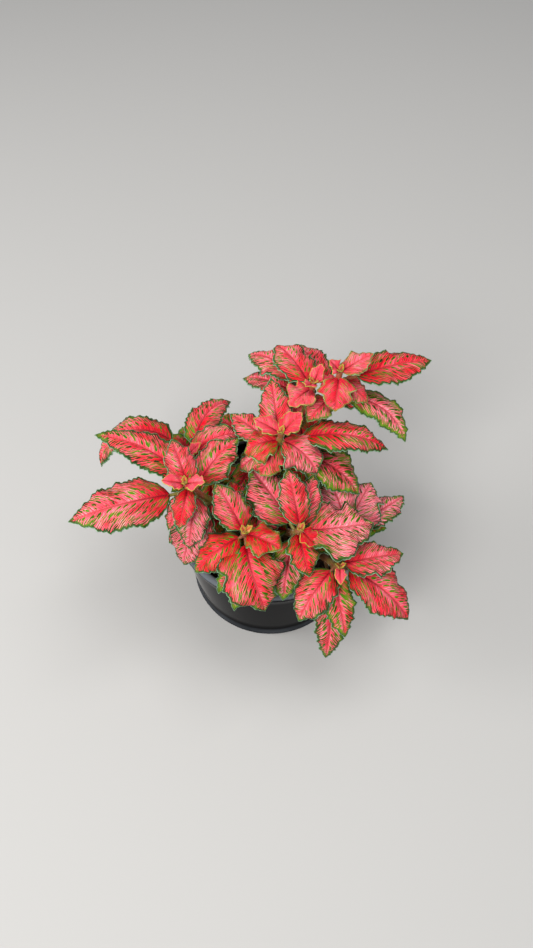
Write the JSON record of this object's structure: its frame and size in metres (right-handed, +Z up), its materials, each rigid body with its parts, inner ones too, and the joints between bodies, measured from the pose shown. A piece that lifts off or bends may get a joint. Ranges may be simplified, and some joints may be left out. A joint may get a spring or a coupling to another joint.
{
  "type": "potted nerve plant",
  "caption": "Small houseplant with pink-veined toothed leaves on soft stems, growing from potting mix in a glossy black round pot, for decoration on a flat surface.",
  "frame": {"origin": "centre of the underside of the pot, on the surface that it stands on", "axes": "+Z up along the pot's axis; -Y towards the plant's front, over which its lowest leaves hang; +X to the right seen from the front"},
  "size_m": [0.15, 0.1212, 0.1219],
  "materials": {
    "pot": "near-black, high gloss, smooth",
    "soil": "dark brown, matt, crumbly peat and bark mix",
    "leaf": "coral pink to red with a fine net of pale veins, olive-green flecks and a grey-green toothed edge, satin"
  },
  "bodies": {
    "root": {"pot": "pot", "soil": "soil", "leafy_stem_left": "leaf", "leafy_stem_left_back": "leaf", "leafy_stem_middle": "leaf", "leafy_stem_back_right": "leaf", "leafy_stem_back": "leaf", "leafy_stem_front_left": "leaf", "leafy_stem_front_middle": "leaf", "leafy_stem_front_right": "leaf", "leafy_stem_right": "leaf", "leafy_stem_back_low": "leaf", "leafy_stem_side_left_low": "leaf", "leafy_stem_side_right_low": "leaf"}
  },
  "joints": []
}
